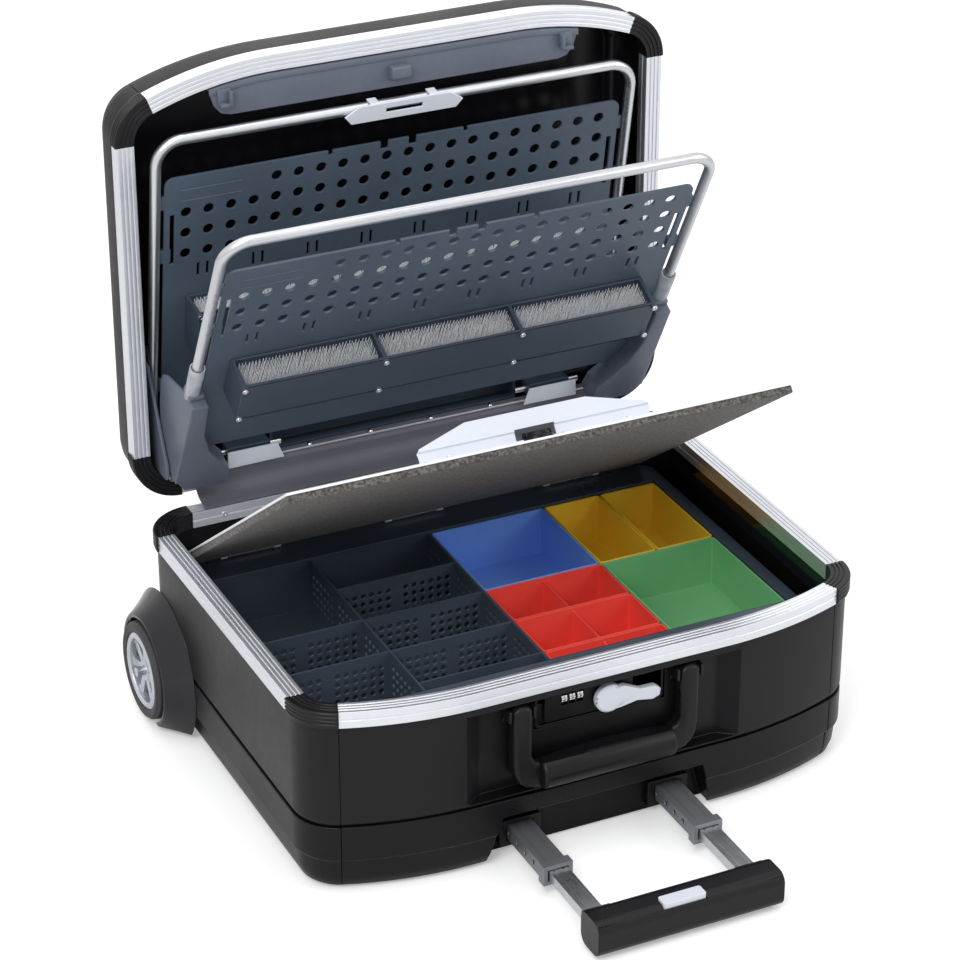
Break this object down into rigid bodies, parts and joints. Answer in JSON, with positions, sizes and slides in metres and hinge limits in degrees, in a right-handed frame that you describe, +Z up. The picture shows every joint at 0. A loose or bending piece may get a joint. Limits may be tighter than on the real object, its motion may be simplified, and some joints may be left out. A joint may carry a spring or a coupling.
{
  "type": "rolling hard tool case",
  "caption": "Rolling hard tool case with hinged lid, fold-out tool boards, lift-up foam cover, small parts boxes and a telescopic trolley handle.",
  "frame": {"origin": "centre of the flat underside of the trolley tub", "axes": "+X to the right along the hinge, +Y from the lock side to the hinge side, +Z up"},
  "size_m": [0.5324, 0.578, 0.5405],
  "materials": {
    "shell_black": "fine grained matt",
    "tub_black": "satin",
    "rail_aluminium": "ribbed, anodised",
    "corner_black": "ribbed matt",
    "fender_black": "gloss",
    "tyre_black": "matt",
    "hub_silver": "silver lacquer",
    "tray_grey": "satin",
    "fitting_grey": "satin",
    "light_grey": "satin",
    "box_blue": "satin",
    "box_yellow": "satin",
    "box_red": "satin",
    "box_green": "satin",
    "tube_steel": "satin",
    "bristle_white": "loose fibres",
    "foam_grey": "open foam",
    "band_grey": "smooth",
    "sheet_white": "satin",
    "dial_steel": "satin"
  },
  "bodies": {
    "case": {"base_shell": "shell_black", "trolley_tub": "tub_black", "base_front_rail": "rail_aluminium", "base_side_rails": "rail_aluminium", "base_back_rail": "rail_aluminium", "base_corners": "corner_black", "guide_tubes": "tube_steel", "tube_collars": "corner_black", "wheel_fenders": "fender_black", "wheel_axle": "tube_steel", "lock_housing": "tub_black", "lock_plate": "tub_black", "handle_pivots": "corner_black", "parts_tray": "tray_grey", "tray_dividers": "tray_grey", "blue_box": "box_blue", "yellow_boxes": "box_yellow", "red_boxes": "box_red", "green_box": "box_green", "cover_hinge": "tube_steel", "hinge_band": "band_grey"},
    "lid": {"band_rivets": "dial_steel", "lid_shell": "shell_black", "lid_front_rail": "rail_aluminium", "lid_side_rails": "rail_aluminium", "lid_back_rail": "rail_aluminium", "lid_corners": "corner_black", "head_tray": "fitting_grey", "side_brackets": "fitting_grey", "cross_beam": "fitting_grey", "band_clamp": "rail_aluminium", "pivot_pins": "dial_steel", "clip_plates": "light_grey"},
    "rear_rack": {"rear_frame": "tube_steel", "rear_board": "fitting_grey", "rear_holder": "fitting_grey", "rear_bristles": "bristle_white", "frame_clip": "light_grey"},
    "front_rack": {"front_frame": "tube_steel", "front_arms": "fitting_grey", "front_board": "fitting_grey", "front_holder": "fitting_grey", "front_bristles": "bristle_white"},
    "cover": {"cover_panel": "sheet_white", "cover_foam": "foam_grey", "cover_bracket": "light_grey"},
    "knob": {"cover_knob": "tub_black"},
    "carry_handle": {"carry_handle": "shell_black"},
    "latch_lever": {"latch_lever": "light_grey"},
    "dial_left": {"dial_left": "dial_steel"},
    "dial_middle": {"dial_middle": "dial_steel"},
    "dial_right": {"dial_right": "dial_steel"},
    "outer_stage": {"outer_stage": "tube_steel"},
    "inner_stage": {"inner_stage": "tube_steel", "trolley_grip": "corner_black"},
    "release_button": {"release_button": "light_grey"},
    "left_wheel": {"left_tyre": "tyre_black", "left_hub": "hub_silver"},
    "right_wheel": {"right_tyre": "tyre_black", "right_hub": "hub_silver"}
  },
  "joints": [
    {"name": "lid_hinge", "type": "hinge", "parent": "case", "child": "lid", "pos_m": [0, 0.185, 0.1635], "axis": [-1, 0, 0], "range_deg": [-90, 0], "deforming": ["hinge_band"]},
    {"name": "rear_rack_fold", "type": "hinge", "parent": "lid", "child": "rear_rack", "pos_m": [0, 0.228, 0.197], "axis": [1, 0, 0], "range_deg": [-9.5, 0]},
    {"name": "front_rack_fold", "type": "hinge", "parent": "lid", "child": "front_rack", "pos_m": [0, 0.1745, 0.197], "axis": [1, 0, 0], "range_deg": [-30, 0]},
    {"name": "cover_hinge", "type": "hinge", "parent": "case", "child": "cover", "pos_m": [0, 0.165, 0.1156], "axis": [-1, 0, 0], "range_deg": [-36, 0]},
    {"name": "knob_turn", "type": "hinge", "parent": "cover", "child": "knob", "pos_m": [0, -0.07082, 0.2946], "axis": [0, 0.5878, 0.809], "range_deg": [0, 90]},
    {"name": "handle_swing", "type": "hinge", "parent": "case", "child": "carry_handle", "pos_m": [0, -0.188, 0.134], "axis": [-1, 0, 0], "range_deg": [0, 90]},
    {"name": "lever_turn", "type": "hinge", "parent": "case", "child": "latch_lever", "pos_m": [0.006, -0.179, 0.124], "axis": [0, 1, 0], "range_deg": [0, 40]},
    {"name": "dial_left_turn", "type": "hinge", "parent": "case", "child": "dial_left", "pos_m": [-0.0303, -0.1753, 0.13], "axis": [1, 0, 0], "continuous": true},
    {"name": "dial_middle_turn", "type": "hinge", "parent": "case", "child": "dial_middle", "pos_m": [-0.0235, -0.1753, 0.13], "axis": [1, 0, 0], "continuous": true},
    {"name": "dial_right_turn", "type": "hinge", "parent": "case", "child": "dial_right", "pos_m": [-0.0167, -0.1753, 0.13], "axis": [1, 0, 0], "continuous": true},
    {"name": "outer_stage_slide", "type": "slide", "parent": "case", "child": "outer_stage", "axis": [0, -1, 0], "range_m": [-0.056, 0.2]},
    {"name": "inner_stage_slide", "type": "slide", "parent": "outer_stage", "child": "inner_stage", "axis": [0, -1, 0], "range_m": [-0.06, 0.2]},
    {"name": "button_press", "type": "slide", "parent": "inner_stage", "child": "release_button", "axis": [0, 0, -1], "range_m": [0, 0.003], "stiffness_N_per_m": 300, "springref_m": -0.002},
    {"name": "left_wheel_spin", "type": "hinge", "parent": "case", "child": "left_wheel", "pos_m": [0, 0.134, 0.044], "axis": [1, 0, 0], "continuous": true},
    {"name": "right_wheel_spin", "type": "hinge", "parent": "case", "child": "right_wheel", "pos_m": [0, 0.134, 0.044], "axis": [1, 0, 0], "continuous": true}
  ],
  "couplings": [
    {"joint": "rear_rack_fold", "follows": "lid_hinge", "ratio": 0.10556},
    {"joint": "front_rack_fold", "follows": "lid_hinge", "ratio": 0.33333},
    {"joint": "cover_hinge", "follows": "lid_hinge", "ratio": 0.4}
  ]
}
